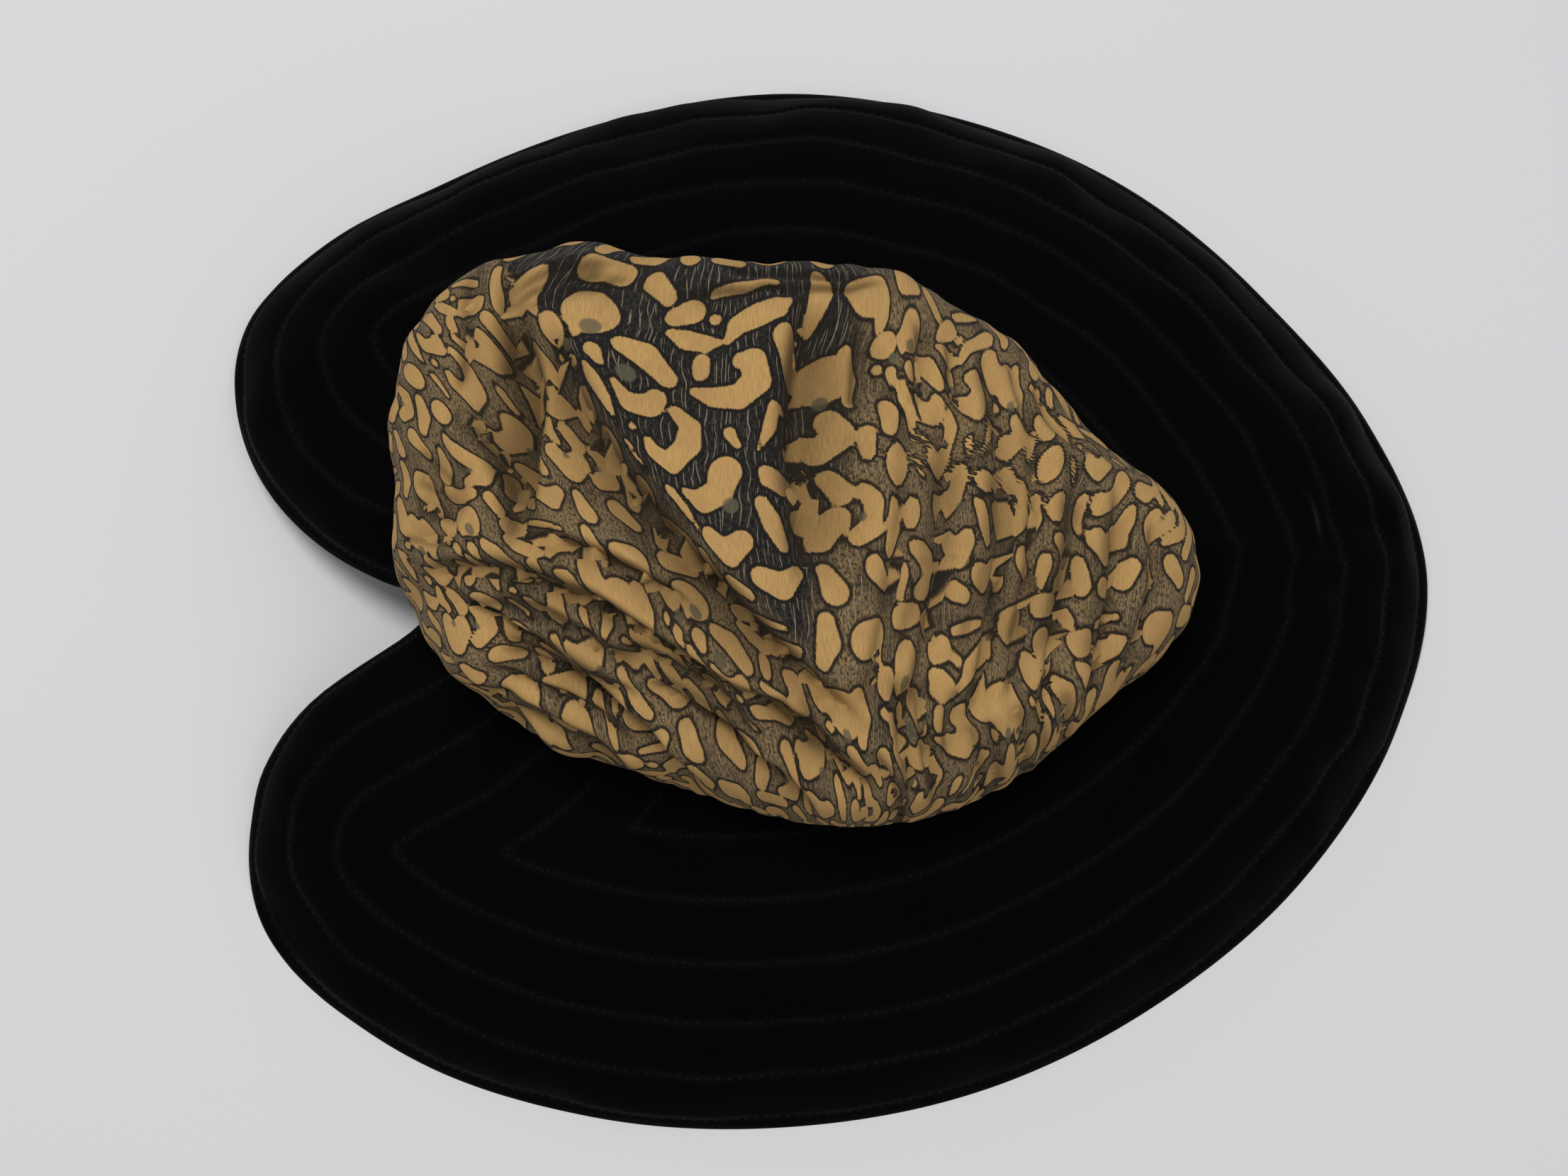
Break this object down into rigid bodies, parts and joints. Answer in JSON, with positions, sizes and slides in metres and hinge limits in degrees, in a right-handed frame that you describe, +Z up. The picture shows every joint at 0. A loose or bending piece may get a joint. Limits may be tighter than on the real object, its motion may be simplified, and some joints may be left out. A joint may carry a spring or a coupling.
{
  "type": "floppy hat",
  "caption": "Soft hat with a wide stitched velvet brim, notched at the back, and a draped gauze crown drawn to a point at the front.",
  "frame": {"origin": "bottom centre of the hat's box, on the surface that it rests on", "axes": "+Z up, the front of the hat faces -Y, the wearer's left is +X"},
  "size_m": [0.3616, 0.4077, 0.114],
  "materials": {
    "velvet": "matt black pile with a soft sheen",
    "printed_gauze": "matt tan figures on a black net ground"
  },
  "bodies": {
    "root": {"brim": "velvet", "crown": "printed_gauze"}
  },
  "joints": []
}
